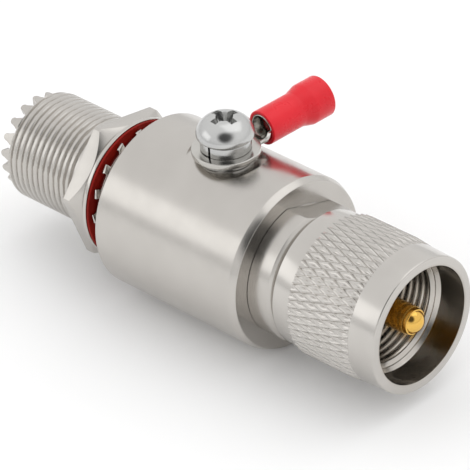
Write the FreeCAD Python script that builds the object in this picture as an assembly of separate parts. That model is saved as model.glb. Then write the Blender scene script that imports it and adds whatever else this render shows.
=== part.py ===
import FreeCAD, Part
import math
import os

# Coax lightning arrestor, millimetres.
# The coaxial axis is X, with the male coupling nut at +X and the ground screw at +Z.
# The origin is on the axis, in the plane of the housing face that seats on a panel.

V = FreeCAD.Vector
AXIS_X = V(1, 0, 0)
AXIS_Y = V(0, 1, 0)
AXIS_Z = V(0, 0, 1)
HERE = V(0, 0, 0)

# Clearances
RUN_CLEAR = 0.06
SEAT_CLEAR = 0.03
RING_CLEAR = 0.15
NUT_GAP = 0.3
CUT_OVER = 1.0

# Main housing
BODY_R = 12.5
BODY_LEN = 26.2
BODY_EDGE = 0.3
FACE_CHAMFER_LEN = 1.0
FACE_CHAMFER_R = 0.45
BARREL_R = 7.9375
BARREL_LEN = 22.1
BARREL_CHAMFER = 0.45
BARREL_BORE_R = 6.0
CAVITY_R = 7.5
CAVITY_START = 3.0
SPIGOT_BORE_R = 9.0
SPIGOT_LEN = 7.7

# Serrated end of the barrel
TOOTH_COUNT = 18
TOOTH_LEN = 2.0
TOOTH_OUTER_R = 7.1
TOOTH_ROOT_W = 2.3
TOOTH_SHOULDER_W = 1.06
TOOTH_SHOULDER = 1.35
TOOTH_SINK = 0.4

# Bulkhead hardware
PANEL_SPACE = 3.97
BACKING_T = 0.6
BACKING_WIDTH = 2.2625
GASKET_T = 0.4
GASKET_EDGE = 0.15
WASHER_T = 0.45
WASHER_RING_W = 0.65
WASHER_TOOTH_LEN = 0.85
WASHER_TOOTH_COUNT = 16
WASHER_TOOTH_W = 1.3
WASHER_TWIST = 20.0
WASHER_TOOTH_GAP = 0.24
WASHER_TOOTH_ROOT = 0.1
NUT_SLACK = 0.38
NUT_WALL = 1.5625
NUT_T = 2.8
NUT_FACE_EDGE = 0.2
NUT_CHAMFER_LEN = 1.75
NUT_CORNER_ANGLE = 110.4

# Male body
NECK_R = 9.8
NECK_LEN = 4.1
NECK_CHAMFER_LEN = 0.6
NECK_CHAMFER_R = 0.75
FLATS = 17.5
FLATS_TILT = 18.0
JOURNAL_R = 7.4
JOURNAL_LEN = 3.3
SHELL_R = 5.9
SHELL_LEN = 4.9
SHELL_EDGE = 0.4
SHELL_BORE_R = 4.8

# Coupling nut
COUPLING_LEN = 17.9
LIP_LEN = 2.9
BACK_BAND_R = 9.7
BACK_BAND_LEN = 3.04
KNURL_R = 10.15
KNURL_LEN = 10.6
FRONT_BAND_R = 9.9
RIM_R = 9.6
RIM_EDGE = 0.15
MOUTH_R = 8.4
MOUTH_DEPTH = 4.1
STEP_CHAMFER = 0.5
INNER_THREAD_R = 7.4
INNER_THREAD_LEN = 8.0
RELIEF_R = 8.6

# Retaining ring
RING_W = 1.0
RING_INNER_R = 6.9
RING_OUTER_R = 7.95
RING_GAP_ANGLE = 40.0
RING_FROM_LIP = 0.95

# Male insulator and centre pin
INSULATOR_FLANGE_T = 1.5
BEAD_POCKET = 3.0
INSULATOR_FLANGE_R = 7.3
INSULATOR_RECESS = 2.5
PIN_R = 2.0
PIN_TAIL_R = 1.6
PIN_TIP_R = 1.65
PIN_DOME = 1.05
PIN_SHOULDER_LEN = 0.6
PIN_SHOULDER_R = 1.8
PIN_SETBACK = 0.2

# Centre conductor and female contact
ROD_R = 2.2
ROD_TAIL_R = 1.5
ROD_SOCKET = 3.5
ROD_END_GAP = 0.5
CONTACT_R = 2.9
CONTACT_BORE_R = 2.0
CONTACT_LEN = 10.5
CONTACT_FLOOR = 1.0
CONTACT_TIP = 3.6
CONTACT_SLOT_W = 0.5
CONTACT_SLOT_LEN = 7.5
CONTACT_SLOTS = 2
CONTACT_SLOT_TURN = 45.0
CONTACT_CLEAR = 0.15
BOSS_R = 4.2
BOSS_RECESS = 0.9
SOCKET_DEPTH = 11.1

# Gas discharge tube
TUBE_FROM_ROD_END = 6.5
TUBE_R = 2.5
ELECTRODE_T = 0.8
ELECTRODE_NOSE_R = 1.2
ELECTRODE_NOSE = 0.6
CERAMIC_T = 2.2
CERAMIC_BORE_R = 1.7
ROD_FLAT = 2.0
ROD_FLAT_LEN = 6.0
CLIP_T = 0.25
CLIP_W = 3.0
CLIP_HALF = 2.4
CLIP_WALL_GAP = 0.05

# Ground screw and its washers
SCREW_SETBACK = 12.4
SEAT_DEPTH = 0.4
SEAT_R = 5.5
SCREW_R = 2.0
SCREW_LEN = 6.5
SCREW_END_GAP = 0.4
SHANK_POINT = 0.5
HEAD_R = 4.0
HEAD_BASE_R = 3.7
HEAD_H = 3.3
HEAD_EDGE_LOW = 0.75
HEAD_EDGE_HIGH = 1.25
HEAD_SHOULDER_R = 3.1
HEAD_SHOULDER_H = 2.65
RECESS_HALF = 2.1
RECESS_FLOOR_HALF = 0.85
RECESS_W = 1.05
RECESS_DEPTH = 2.1
RECESS_SHOULDER = 0.525
RECESS_LEAD = 0.2
RECESS_TURN = -5.0
FLAT_WASHER_T = 0.9
FLAT_WASHER_R = 4.5
SPLIT_T = 1.3
SPLIT_R = 3.5
SPLIT_GAP = 0.45
SPLIT_SLANT = 0.35
SPLIT_ANGLE = -85.0
HOLE_PLAY = 0.15

# Ring terminal and its sleeve
SHEET_T = 0.8
RING_R = 4.7
TONGUE_W = 4.6
TERMINAL_YAW = 4.4
TERMINAL_TILT = 2.0
CRIMP_START = 6.2
CRIMP_LEN = 5.2
CRIMP_R = 2.15
CRIMP_BORE_R = 1.45
CRIMP_RISE = 0.4
TONGUE_FLAT = 0.2
SCOOP_OVERLAP = 1.3
SCOOP_INSET = 0.12
SCOOP_HALF_ANGLE = math.radians(85)
CRIMP_LEAD = 0.35
SLEEVE_START = 6.5
SLEEVE_LEN = 10.9
SLEEVE_R = 2.5
SLEEVE_FLARE_R = 3.0
SLEEVE_WALL = 0.33
FLARE_START = 6.1
FLARE_END = 7.8

# Places worked out from the sizes above
BARREL_END = -BARREL_LEN
TOOTH_TIP = BARREL_END - TOOTH_LEN
SPIGOT_START = BODY_LEN - SPIGOT_LEN
RING_BORE_R = BARREL_R + RING_CLEAR
BACKING_R = BARREL_R + BACKING_WIDTH
WASHER_RING_R = RING_BORE_R + WASHER_RING_W
NUT_FLAT_R = BARREL_R + NUT_WALL
NUT_FACE_R = NUT_FLAT_R - NUT_FACE_EDGE
BACKING_FACE = -PANEL_SPACE
BACKING_BACK = BACKING_FACE - BACKING_T
GASKET_FACE = BACKING_FACE + GASKET_T
WASHER_BACK = GASKET_FACE + WASHER_TOOTH_GAP
WASHER_FACE = WASHER_BACK + WASHER_T
NUT_FACE = BACKING_BACK - NUT_SLACK
NECK_END = BODY_LEN + NECK_LEN
JOURNAL_END = NECK_END + JOURNAL_LEN
SHELL_END = JOURNAL_END + SHELL_LEN
COUPLING_START = NECK_END + NUT_GAP
COUPLING_END = COUPLING_START + COUPLING_LEN
LIP_BORE_R = JOURNAL_R + RUN_CLEAR
RING_START = COUPLING_START + RING_FROM_LIP
RING_END = RING_START + RING_W
PIN_END = COUPLING_END - PIN_SETBACK
MALE_SHOULDER = SPIGOT_START + BEAD_POCKET
MALE_INSULATOR_END = SHELL_END - INSULATOR_RECESS
CONTACT_START = TOOTH_TIP + CONTACT_TIP
CONTACT_END = CONTACT_START + CONTACT_LEN
FEMALE_FLANGE_END = CAVITY_START + INSULATOR_FLANGE_T
ROD_START = FEMALE_FLANGE_END + ROD_END_GAP
ROD_END = MALE_SHOULDER - INSULATOR_FLANGE_T - ROD_END_GAP
TUBE_X = ROD_END - TUBE_FROM_ROD_END
TUBE_TOP = -ROD_FLAT
CERAMIC_TOP = TUBE_TOP - ELECTRODE_T
CERAMIC_BASE = CERAMIC_TOP - CERAMIC_T
TUBE_BASE = CERAMIC_BASE - ELECTRODE_T
SCREW_X = BODY_LEN - SCREW_SETBACK
SEAT_Z = BODY_R - SEAT_DEPTH
TERMINAL_Z = SEAT_Z + FLAT_WASHER_T
SPLIT_Z = TERMINAL_Z + SHEET_T
HEAD_Z = SPLIT_Z + SPLIT_T
SHANK_END = HEAD_Z - SCREW_LEN
SCOOP_START = RING_R + TONGUE_FLAT
CRIMP_Z = TERMINAL_Z + SHEET_T / 2 + CRIMP_RISE


def turned(outline):
    """Solid of revolution about the X axis from (x, radius) points."""
    points = [V(x, 0, r) for x, r in outline]
    face = Part.Face(Part.makePolygon(points + points[:1]))
    return face.revolve(HERE, AXIS_X, 360)


def rod(radius, x0, x1):
    """Cylinder along the X axis between two stations."""
    return Part.makeCylinder(radius, x1 - x0, V(x0, 0, 0), AXIS_X)


def post(radius, z0, z1, x=0.0):
    """Cylinder along Z between two heights."""
    return Part.makeCylinder(radius, z1 - z0, V(x, 0, z0), AXIS_Z)


def about_x(shape, degrees):
    copy = shape.copy()
    copy.rotate(HERE, AXIS_X, degrees)
    return copy


def end_teeth():
    """Rounded locating teeth on the open end of the barrel."""
    root = BARREL_END + TOOTH_SINK
    shoulder = BARREL_END - TOOTH_SHOULDER
    half_root = TOOTH_ROOT_W / 2
    half_shoulder = TOOTH_SHOULDER_W / 2
    low = BARREL_BORE_R / 2
    a = V(root, -half_root, low)
    b = V(BARREL_END, -half_root, low)
    c = V(shoulder, -half_shoulder, low)
    tip = V(TOOTH_TIP, 0, low)
    d = V(shoulder, half_shoulder, low)
    e = V(BARREL_END, half_root, low)
    f = V(root, half_root, low)
    edges = [
        Part.LineSegment(a, b).toShape(),
        Part.LineSegment(b, c).toShape(),
        Part.Arc(c, tip, d).toShape(),
        Part.LineSegment(d, e).toShape(),
        Part.LineSegment(e, f).toShape(),
        Part.LineSegment(f, a).toShape(),
    ]
    blade = Part.Face(Part.Wire(edges)).extrude(V(0, 0, TOOTH_OUTER_R))
    ring = rod(TOOTH_OUTER_R, TOOTH_TIP, root).cut(rod(BARREL_BORE_R, TOOTH_TIP, root))
    tooth = blade.common(ring)
    step = 360.0 / TOOTH_COUNT
    return [about_x(tooth, step * i) for i in range(TOOTH_COUNT)]


def main_housing():
    """Barrel, cylinder, cavity and ground seat, turned and drilled as one piece."""
    outer_face = BODY_R - FACE_CHAMFER_R
    outline = [
        (BARREL_END, BARREL_BORE_R),
        (BARREL_END, BARREL_R - BARREL_CHAMFER),
        (BARREL_END + BARREL_CHAMFER, BARREL_R),
        (0, BARREL_R),
        (0, BODY_R - BODY_EDGE),
        (BODY_EDGE, BODY_R),
        (BODY_LEN - FACE_CHAMFER_LEN, BODY_R),
        (BODY_LEN, outer_face),
        (BODY_LEN, SPIGOT_BORE_R),
        (SPIGOT_START, SPIGOT_BORE_R),
        (SPIGOT_START, CAVITY_R),
        (CAVITY_START, CAVITY_R),
        (CAVITY_START, BARREL_BORE_R),
    ]
    body = turned(outline)
    body = body.fuse(end_teeth())
    seat = post(SEAT_R, SEAT_Z, BODY_R + CUT_OVER, SCREW_X)
    hole = post(SCREW_R + RUN_CLEAR, SHANK_END - SCREW_END_GAP, SEAT_Z + CUT_OVER, SCREW_X)
    return body.cut(seat).cut(hole).removeSplitter()


def hoop(outer_r, x0, x1):
    """Flat ring that slides on the threaded barrel."""
    return rod(outer_r, x0, x1).cut(rod(RING_BORE_R, x0, x1))


def backing_washer():
    """Flat metal washer between the nut and the rubber ring."""
    return hoop(BACKING_R, BACKING_BACK, BACKING_FACE)


def panel_gasket():
    """Flat rubber ring on the backing washer."""
    return hoop(BACKING_R - GASKET_EDGE, BACKING_FACE, GASKET_FACE)


def lock_washer():
    """External tooth washer: a flat ring with teeth twisted about their radii."""
    middle = (WASHER_BACK + WASHER_FACE) / 2
    root = WASHER_RING_R - WASHER_TOOTH_ROOT
    tip = WASHER_RING_R + WASHER_TOOTH_LEN
    blade = Part.makeBox(WASHER_T, WASHER_TOOTH_W, tip - root + CUT_OVER)
    blade.translate(V(-WASHER_T / 2, -WASHER_TOOTH_W / 2, root))
    blade.rotate(HERE, AXIS_Z, WASHER_TWIST)
    blade.translate(V(middle, 0, 0))
    tooth = blade.common(rod(tip, BACKING_FACE, 0))
    step = 360.0 / WASHER_TOOTH_COUNT
    teeth = [about_x(tooth, step * i) for i in range(WASHER_TOOTH_COUNT)]
    return hoop(WASHER_RING_R, WASHER_BACK, WASHER_FACE).fuse(teeth).removeSplitter()


def mounting_nut():
    """Thin hex nut with a deep chamfer on the side that faces the panel."""
    corner = 2 * NUT_FLAT_R / math.sqrt(3)
    back = NUT_FACE - NUT_T
    points = []
    for i in range(6):
        angle = math.radians(NUT_CORNER_ANGLE + 60 * i)
        points.append(V(back, corner * math.cos(angle), corner * math.sin(angle)))
    prism = Part.Face(Part.makePolygon(points + points[:1])).extrude(V(NUT_T, 0, 0))
    cone = [
        (back, 0),
        (back, corner + CUT_OVER),
        (NUT_FACE - NUT_CHAMFER_LEN, corner + CUT_OVER),
        (NUT_FACE - NUT_CHAMFER_LEN, corner),
        (NUT_FACE, NUT_FACE_R),
        (NUT_FACE, 0),
    ]
    bore = rod(BARREL_R + RUN_CLEAR, back, NUT_FACE)
    return prism.common(turned(cone)).cut(bore)


def male_body():
    """Screwed-in plug body: spigot, spanner neck, nut journal and plug shell."""
    groove_r = RING_INNER_R - SEAT_CLEAR
    outline = [
        (SPIGOT_START, CAVITY_R),
        (SPIGOT_START, SPIGOT_BORE_R - SEAT_CLEAR),
        (BODY_LEN, SPIGOT_BORE_R - SEAT_CLEAR),
        (BODY_LEN, NECK_R),
        (NECK_END - NECK_CHAMFER_LEN, NECK_R),
        (NECK_END, NECK_R - NECK_CHAMFER_R),
        (NECK_END, JOURNAL_R),
        (RING_START - SEAT_CLEAR, JOURNAL_R),
        (RING_START - SEAT_CLEAR, groove_r),
        (RING_END + SEAT_CLEAR, groove_r),
        (RING_END + SEAT_CLEAR, JOURNAL_R),
        (JOURNAL_END, JOURNAL_R),
        (JOURNAL_END, SHELL_R),
        (SHELL_END - SHELL_EDGE, SHELL_R),
        (SHELL_END, SHELL_R - SHELL_EDGE),
        (SHELL_END, SHELL_BORE_R),
        (MALE_SHOULDER, SHELL_BORE_R),
        (MALE_SHOULDER, CAVITY_R),
    ]
    body = turned(outline)
    for side in (0, 180):
        slab = Part.makeBox(NECK_LEN, 4 * NECK_R, NECK_R)
        slab.translate(V(BODY_LEN, -2 * NECK_R, FLATS / 2))
        body = body.cut(about_x(slab, side - FLATS_TILT))
    return body


def coupling_nut():
    """Captive threaded nut, with the knurled grip left as a plain band."""
    knurl_start = COUPLING_START + BACK_BAND_LEN
    knurl_end = knurl_start + KNURL_LEN
    lip_end = COUPLING_START + LIP_LEN
    mouth = COUPLING_END - MOUTH_DEPTH
    thread_end = mouth - STEP_CHAMFER
    thread_start = thread_end - INNER_THREAD_LEN
    step_r = MOUTH_R - STEP_CHAMFER
    groove_r = RING_OUTER_R + RING_CLEAR
    outline = [
        (COUPLING_START, LIP_BORE_R),
        (COUPLING_START, BACK_BAND_R - RIM_EDGE),
        (COUPLING_START + RIM_EDGE, BACK_BAND_R),
        (knurl_start, BACK_BAND_R),
        (knurl_start, KNURL_R),
        (knurl_end, KNURL_R),
        (knurl_end, FRONT_BAND_R),
        (COUPLING_END - RIM_EDGE, RIM_R),
        (COUPLING_END, RIM_R - RIM_EDGE),
        (COUPLING_END, MOUTH_R + RIM_EDGE),
        (COUPLING_END - RIM_EDGE, MOUTH_R),
        (mouth, MOUTH_R),
        (thread_end, step_r),
        (thread_end, INNER_THREAD_R),
        (thread_start, INNER_THREAD_R),
        (thread_start, RELIEF_R),
        (lip_end, RELIEF_R),
        (lip_end, LIP_BORE_R),
        (RING_END + RING_CLEAR, LIP_BORE_R),
        (RING_END + RING_CLEAR, groove_r),
        (RING_START - RING_CLEAR, groove_r),
        (RING_START - RING_CLEAR, LIP_BORE_R),
    ]
    return turned(outline)


def retaining_ring():
    """Split snap ring that keeps the coupling nut on the plug body."""
    ring = rod(RING_OUTER_R, RING_START, RING_END).cut(rod(RING_INNER_R, RING_START, RING_END))
    half = math.radians(RING_GAP_ANGLE / 2)
    reach = 2 * RING_OUTER_R
    points = [
        V(RING_START, 0, 0),
        V(RING_START, -reach * math.sin(half), -reach * math.cos(half)),
        V(RING_START, reach * math.sin(half), -reach * math.cos(half)),
    ]
    wedge = Part.Face(Part.makePolygon(points + points[:1])).extrude(V(RING_W, 0, 0))
    return ring.cut(wedge)


def male_insulator():
    """Insulator bead that carries the centre pin in the plug shell."""
    outline = [
        (MALE_SHOULDER - INSULATOR_FLANGE_T, PIN_TAIL_R),
        (MALE_SHOULDER - INSULATOR_FLANGE_T, INSULATOR_FLANGE_R),
        (MALE_SHOULDER, INSULATOR_FLANGE_R),
        (MALE_SHOULDER, SHELL_BORE_R),
        (MALE_INSULATOR_END, SHELL_BORE_R),
        (MALE_INSULATOR_END, PIN_TAIL_R),
    ]
    return turned(outline)


def centre_pin():
    """Plated pin with a shouldered, domed tip and a tail into the centre rod."""
    dome_start = PIN_END - PIN_DOME
    tail_end = ROD_END - ROD_SOCKET
    points = [
        V(tail_end, 0, 0),
        V(tail_end, 0, ROD_TAIL_R),
        V(ROD_END, 0, ROD_TAIL_R),
        V(ROD_END, 0, PIN_TAIL_R),
        V(MALE_INSULATOR_END, 0, PIN_TAIL_R),
        V(MALE_INSULATOR_END, 0, PIN_R),
        V(dome_start - PIN_SHOULDER_LEN, 0, PIN_R),
        V(dome_start, 0, PIN_SHOULDER_R),
        V(dome_start, 0, PIN_TIP_R),
    ]
    edges = [Part.LineSegment(a, b).toShape() for a, b in zip(points, points[1:])]
    dome_r = (PIN_TIP_R ** 2 + PIN_DOME ** 2) / (2 * PIN_DOME)
    half = math.asin(PIN_TIP_R / dome_r) / 2
    middle = V(PIN_END - dome_r + dome_r * math.cos(half), 0, dome_r * math.sin(half))
    nose = V(PIN_END, 0, 0)
    edges.append(Part.Arc(points[-1], middle, nose).toShape())
    edges.append(Part.LineSegment(nose, points[0]).toShape())
    return Part.Face(Part.Wire(edges)).revolve(HERE, AXIS_X, 360)


def centre_conductor():
    """Rod between the two contacts, with a flat that the gas tube rests on."""
    body = rod(ROD_R, ROD_START, ROD_END)
    body = body.cut(rod(ROD_TAIL_R, ROD_START, ROD_START + ROD_SOCKET))
    body = body.cut(rod(ROD_TAIL_R, ROD_END - ROD_SOCKET, ROD_END))
    flat = Part.makeBox(ROD_FLAT_LEN, 4 * ROD_R, ROD_R)
    flat.translate(V(TUBE_X - ROD_FLAT_LEN / 2, -2 * ROD_R, -ROD_FLAT - ROD_R))
    return body.cut(flat)


def socket_contact():
    """Slotted female contact with a tail through the insulator."""
    tail_end = ROD_START + ROD_SOCKET
    outline = [
        (CONTACT_START, CONTACT_BORE_R),
        (CONTACT_START, CONTACT_R),
        (CONTACT_END, CONTACT_R),
        (CONTACT_END, ROD_TAIL_R),
        (tail_end, ROD_TAIL_R),
        (tail_end, 0),
        (CONTACT_END - CONTACT_FLOOR, 0),
        (CONTACT_END - CONTACT_FLOOR, CONTACT_BORE_R),
    ]
    body = turned(outline)
    for i in range(CONTACT_SLOTS):
        slot = Part.makeBox(CONTACT_SLOT_LEN, 4 * CONTACT_R, CONTACT_SLOT_W)
        slot.translate(V(CONTACT_START, -2 * CONTACT_R, -CONTACT_SLOT_W / 2))
        body = body.cut(about_x(slot, 180.0 / CONTACT_SLOTS * i + CONTACT_SLOT_TURN))
    return body


def female_insulator():
    """Insulator bead with a raised boss around the female contact."""
    face = TOOTH_TIP + SOCKET_DEPTH
    sleeve_r = CONTACT_R + CONTACT_CLEAR
    outline = [
        (CONTACT_START + BOSS_RECESS, sleeve_r),
        (CONTACT_START + BOSS_RECESS, BOSS_R),
        (face, BOSS_R),
        (face, BARREL_BORE_R),
        (CAVITY_START, BARREL_BORE_R),
        (CAVITY_START, INSULATOR_FLANGE_R),
        (FEMALE_FLANGE_END, INSULATOR_FLANGE_R),
        (FEMALE_FLANGE_END, ROD_TAIL_R),
        (CONTACT_END, ROD_TAIL_R),
        (CONTACT_END, sleeve_r),
    ]
    return turned(outline)


def gas_tube_electrode(face_z, toward):
    """Disc electrode with a nose into the ceramic; toward is +1 or -1 along Z."""
    inner = face_z + toward * ELECTRODE_T
    nose_end = inner + toward * ELECTRODE_NOSE
    disc = post(TUBE_R, min(face_z, inner), max(face_z, inner), TUBE_X)
    nose = post(ELECTRODE_NOSE_R, min(inner, nose_end), max(inner, nose_end), TUBE_X)
    return disc.fuse(nose).removeSplitter()


def gas_tube_ceramic():
    """Ceramic ring that holds the two electrodes apart."""
    ring = post(TUBE_R, CERAMIC_BASE, CERAMIC_TOP, TUBE_X)
    return ring.cut(post(CERAMIC_BORE_R, CERAMIC_BASE, CERAMIC_TOP, TUBE_X))


def gas_tube_clip():
    """Bowed spring strip between the outer electrode and the housing wall."""
    wall = CAVITY_R - CLIP_WALL_GAP
    foot = -math.sqrt(wall ** 2 - CLIP_HALF ** 2) + CLIP_T
    x0 = TUBE_X - CLIP_W / 2
    low = [V(x0, -CLIP_HALF, foot - CLIP_T), V(x0, 0, TUBE_BASE - CLIP_T), V(x0, CLIP_HALF, foot - CLIP_T)]
    high = [V(x0, -CLIP_HALF, foot), V(x0, 0, TUBE_BASE), V(x0, CLIP_HALF, foot)]
    edges = [
        Part.Arc(*high).toShape(),
        Part.LineSegment(high[2], low[2]).toShape(),
        Part.Arc(*low).toShape(),
        Part.LineSegment(low[0], high[0]).toShape(),
    ]
    return Part.Face(Part.Wire(Part.__sortEdges__(edges))).extrude(V(CLIP_W, 0, 0))


def cross_recess(top_z):
    """Tapered cross recess for a driver."""
    floor_z = top_z - RECESS_DEPTH
    points = [
        V(-RECESS_HALF, 0, top_z + RECESS_LEAD),
        V(-RECESS_HALF, 0, top_z - RECESS_SHOULDER),
        V(-RECESS_FLOOR_HALF, 0, floor_z),
        V(RECESS_FLOOR_HALF, 0, floor_z),
        V(RECESS_HALF, 0, top_z - RECESS_SHOULDER),
        V(RECESS_HALF, 0, top_z + RECESS_LEAD),
    ]
    blade = Part.Face(Part.makePolygon(points + points[:1])).extrude(V(0, RECESS_W, 0))
    blade.translate(V(0, -RECESS_W / 2, 0))
    other = blade.copy()
    other.rotate(HERE, AXIS_Z, 90)
    cross = blade.fuse(other)
    cross.rotate(HERE, AXIS_Z, RECESS_TURN)
    cross.translate(V(SCREW_X, 0, 0))
    return cross


def ground_screw():
    """Pan head screw, its shank left plain at the thread's outer size."""
    top = HEAD_Z + HEAD_H
    low = V(HEAD_BASE_R, 0, HEAD_Z)
    edge = V(HEAD_R, 0, HEAD_Z + HEAD_EDGE_LOW)
    rim = V(HEAD_R, 0, HEAD_Z + HEAD_EDGE_HIGH)
    shoulder = V(HEAD_SHOULDER_R, 0, HEAD_Z + HEAD_SHOULDER_H)
    crown = V(0, 0, top)
    tip = SHANK_END + SHANK_POINT
    side = [V(0, 0, SHANK_END), V(SCREW_R - SHANK_POINT, 0, SHANK_END), V(SCREW_R, 0, tip)]
    side += [V(SCREW_R, 0, HEAD_Z), low, edge, rim]
    edges = [Part.LineSegment(a, b).toShape() for a, b in zip(side, side[1:])]
    edges.append(Part.Arc(rim, shoulder, crown).toShape())
    edges.append(Part.LineSegment(crown, side[0]).toShape())
    body = Part.Face(Part.Wire(edges)).revolve(HERE, AXIS_Z, 360)
    body.translate(V(SCREW_X, 0, 0))
    return body.cut(cross_recess(top))


def split_washer():
    """Spring lock washer with a slanting split."""
    bore = SCREW_R + HOLE_PLAY
    ring = post(SPLIT_R, SPLIT_Z, HEAD_Z, SCREW_X).cut(post(bore, SPLIT_Z, HEAD_Z, SCREW_X))
    half = SPLIT_GAP / 2
    lean = SPLIT_SLANT / 2
    points = [
        V(0, -half - lean, SPLIT_Z),
        V(0, half - lean, SPLIT_Z),
        V(0, half + lean, HEAD_Z),
        V(0, -half + lean, HEAD_Z),
    ]
    saw = Part.Face(Part.makePolygon(points + points[:1])).extrude(V(SPLIT_R + CUT_OVER, 0, 0))
    saw.rotate(HERE, AXIS_Z, SPLIT_ANGLE)
    saw.translate(V(SCREW_X, 0, 0))
    return ring.cut(saw)


def flat_washer():
    """Plain washer on the spot-faced seat."""
    ring = post(FLAT_WASHER_R, SEAT_Z, TERMINAL_Z, SCREW_X)
    return ring.cut(post(SCREW_R + HOLE_PLAY, SEAT_Z, TERMINAL_Z, SCREW_X))


def along_terminal(shape):
    """Move a piece from the terminal's own axis, +Y from the screw, to its place."""
    shape.rotate(HERE, AXIS_Z, -TERMINAL_YAW)
    shape.translate(V(SCREW_X, 0, 0))
    return shape


def crimp_frame(shape):
    """Tilt a piece made along +Y from the origin to the crimp's axis."""
    shape.rotate(HERE, AXIS_X, TERMINAL_TILT)
    shape.translate(V(0, CRIMP_START, CRIMP_Z))
    return shape


def trough(y, outer_r, inner_r, half_angle):
    """Closed wire of an arched strip round the crimp's axis at one station."""
    s = math.sin(half_angle)
    c = math.cos(half_angle)
    outer, inner = [(V(-r * s, y, -r * c), V(0, y, -r), V(r * s, y, -r * c)) for r in (outer_r, inner_r)]
    edges = [
        Part.Arc(*outer).toShape(),
        Part.LineSegment(outer[2], inner[2]).toShape(),
        Part.Arc(inner[2], inner[1], inner[0]).toShape(),
        Part.LineSegment(inner[0], outer[0]).toShape(),
    ]
    return Part.Wire(edges)


def ring_terminal():
    """Stamped terminal: flat ring, a tongue that curls up and the rolled crimp barrel."""
    top = TERMINAL_Z + SHEET_T
    half = TONGUE_W / 2
    ring = post(RING_R, TERMINAL_Z, top)
    tongue = Part.makeBox(TONGUE_W, SCOOP_START, SHEET_T, V(-half, 0, TERMINAL_Z))
    corners = [
        V(-half, SCOOP_START, TERMINAL_Z),
        V(half, SCOOP_START, TERMINAL_Z),
        V(half, SCOOP_START, top),
        V(-half, SCOOP_START, top),
    ]
    bend = Part.makePolygon(corners + corners[:1])
    join = trough(SCOOP_OVERLAP, CRIMP_R - SCOOP_INSET, CRIMP_BORE_R + SCOOP_INSET, SCOOP_HALF_ANGLE)
    scoop = Part.makeLoft([bend, crimp_frame(join)], True, True)
    barrel = crimp_frame(Part.makeCylinder(CRIMP_R, CRIMP_LEN, HERE, AXIS_Y))
    bore = crimp_frame(Part.makeCylinder(CRIMP_BORE_R, CRIMP_LEN, HERE, AXIS_Y))
    lead = crimp_frame(Part.makeCone(CRIMP_BORE_R + CRIMP_LEAD, CRIMP_BORE_R, CRIMP_LEAD, HERE, AXIS_Y))
    body = ring.fuse([tongue, scoop, barrel]).cut(bore).cut(lead)
    body = body.cut(post(SCREW_R + HOLE_PLAY, TERMINAL_Z - SHEET_T, top + SHEET_T))
    return along_terminal(body.removeSplitter())


def terminal_sleeve():
    """Flared vinyl sleeve over the crimp barrel."""
    start = SLEEVE_START - CRIMP_START
    bore = CRIMP_R + SEAT_CLEAR
    flare_bore = SLEEVE_FLARE_R - SLEEVE_WALL
    a = start + FLARE_START
    b = start + FLARE_END
    end = start + SLEEVE_LEN
    points = [
        V(bore, start, 0),
        V(SLEEVE_R, start, 0),
        V(SLEEVE_R, a, 0),
        V(SLEEVE_FLARE_R, b, 0),
        V(SLEEVE_FLARE_R, end, 0),
        V(flare_bore, end, 0),
        V(flare_bore, b, 0),
        V(bore, a, 0),
    ]
    body = Part.Face(Part.makePolygon(points + points[:1])).revolve(HERE, AXIS_Y, 360)
    return along_terminal(crimp_frame(body))


PIECES = {
    "main_housing": main_housing,
    "backing_washer": backing_washer,
    "panel_gasket": panel_gasket,
    "lock_washer": lock_washer,
    "mounting_nut": mounting_nut,
    "male_body": male_body,
    "coupling_nut": coupling_nut,
    "retaining_ring": retaining_ring,
    "male_insulator": male_insulator,
    "centre_pin": centre_pin,
    "centre_conductor": centre_conductor,
    "socket_contact": socket_contact,
    "female_insulator": female_insulator,
    "gas_tube_ceramic": gas_tube_ceramic,
    "gas_tube_inner_electrode": lambda: gas_tube_electrode(TUBE_TOP, -1),
    "gas_tube_outer_electrode": lambda: gas_tube_electrode(TUBE_BASE, 1),
    "gas_tube_clip": gas_tube_clip,
    "ground_screw": ground_screw,
    "split_washer": split_washer,
    "flat_washer": flat_washer,
    "ring_terminal": ring_terminal,
    "terminal_sleeve": terminal_sleeve,
}

os.makedirs("parts", exist_ok=True)
for node, make in PIECES.items():
    shape = make()
    solids = shape.Solids
    if len(solids) == 1:
        shape = solids[0]
    shape.exportStep("parts/" + node + ".step")
    print(node, len(solids), shape.isValid(), round(shape.Volume, 2))
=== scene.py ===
import math

import bmesh
import bpy
from mathutils import Matrix, Vector


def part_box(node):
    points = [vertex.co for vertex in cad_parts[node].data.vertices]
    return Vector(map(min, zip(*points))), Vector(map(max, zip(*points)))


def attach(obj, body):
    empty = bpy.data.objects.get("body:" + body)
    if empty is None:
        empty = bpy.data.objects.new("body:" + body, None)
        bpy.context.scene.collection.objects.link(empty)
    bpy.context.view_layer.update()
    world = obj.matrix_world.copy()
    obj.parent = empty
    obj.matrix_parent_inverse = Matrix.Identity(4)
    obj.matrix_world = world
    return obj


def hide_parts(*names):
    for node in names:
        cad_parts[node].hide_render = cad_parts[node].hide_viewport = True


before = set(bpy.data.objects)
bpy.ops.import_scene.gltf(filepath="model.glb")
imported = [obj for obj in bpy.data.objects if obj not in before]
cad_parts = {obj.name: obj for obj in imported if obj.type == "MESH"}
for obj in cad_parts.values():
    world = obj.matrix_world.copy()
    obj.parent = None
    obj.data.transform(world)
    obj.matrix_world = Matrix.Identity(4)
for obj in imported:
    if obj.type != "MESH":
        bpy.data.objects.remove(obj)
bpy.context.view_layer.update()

# Coax lightning arrestor. Mesh code works in millimetres; MM turns it into Blender's metres.
# The coaxial axis is X, plug at +X; the ground screw is at +Z. Angles about X run from +Y to +Z.
# Names that end in _R are radii, in _LEN lengths along the axis, in _T thicknesses and in _EASE
# the rounding of corners.

MM = 0.001
SMOOTH_UNDER = 38
FLATS_SHARP = 20
TURN = 2 * math.pi


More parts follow.
